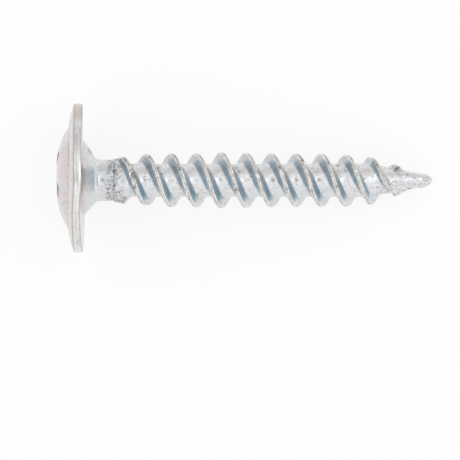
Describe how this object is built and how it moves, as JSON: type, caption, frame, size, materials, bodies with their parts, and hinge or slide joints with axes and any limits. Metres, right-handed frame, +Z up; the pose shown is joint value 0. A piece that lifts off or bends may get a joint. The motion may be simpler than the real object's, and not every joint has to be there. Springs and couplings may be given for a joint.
{
  "type": "wafer head screw",
  "caption": "Zinc-plated wafer head screw lying on its side: low dome on a wide thin flange, cross recess, coarse sheet-metal thread and a sharp self-tapping point.",
  "frame": {"origin": "middle of the footprint, on the surface that the screw lies on", "axes": "+X along the screw from head to point, seen from above; the axis dips towards the point by about 10 degrees; +Z up"},
  "size_m": [0.0274, 0.011, 0.0109],
  "materials": {
    "zinc_plated_steel": "bright bluish-white zinc plating, slightly mottled"
  },
  "bodies": {
    "root": {"wafer_head_screw": "zinc_plated_steel"}
  },
  "joints": []
}
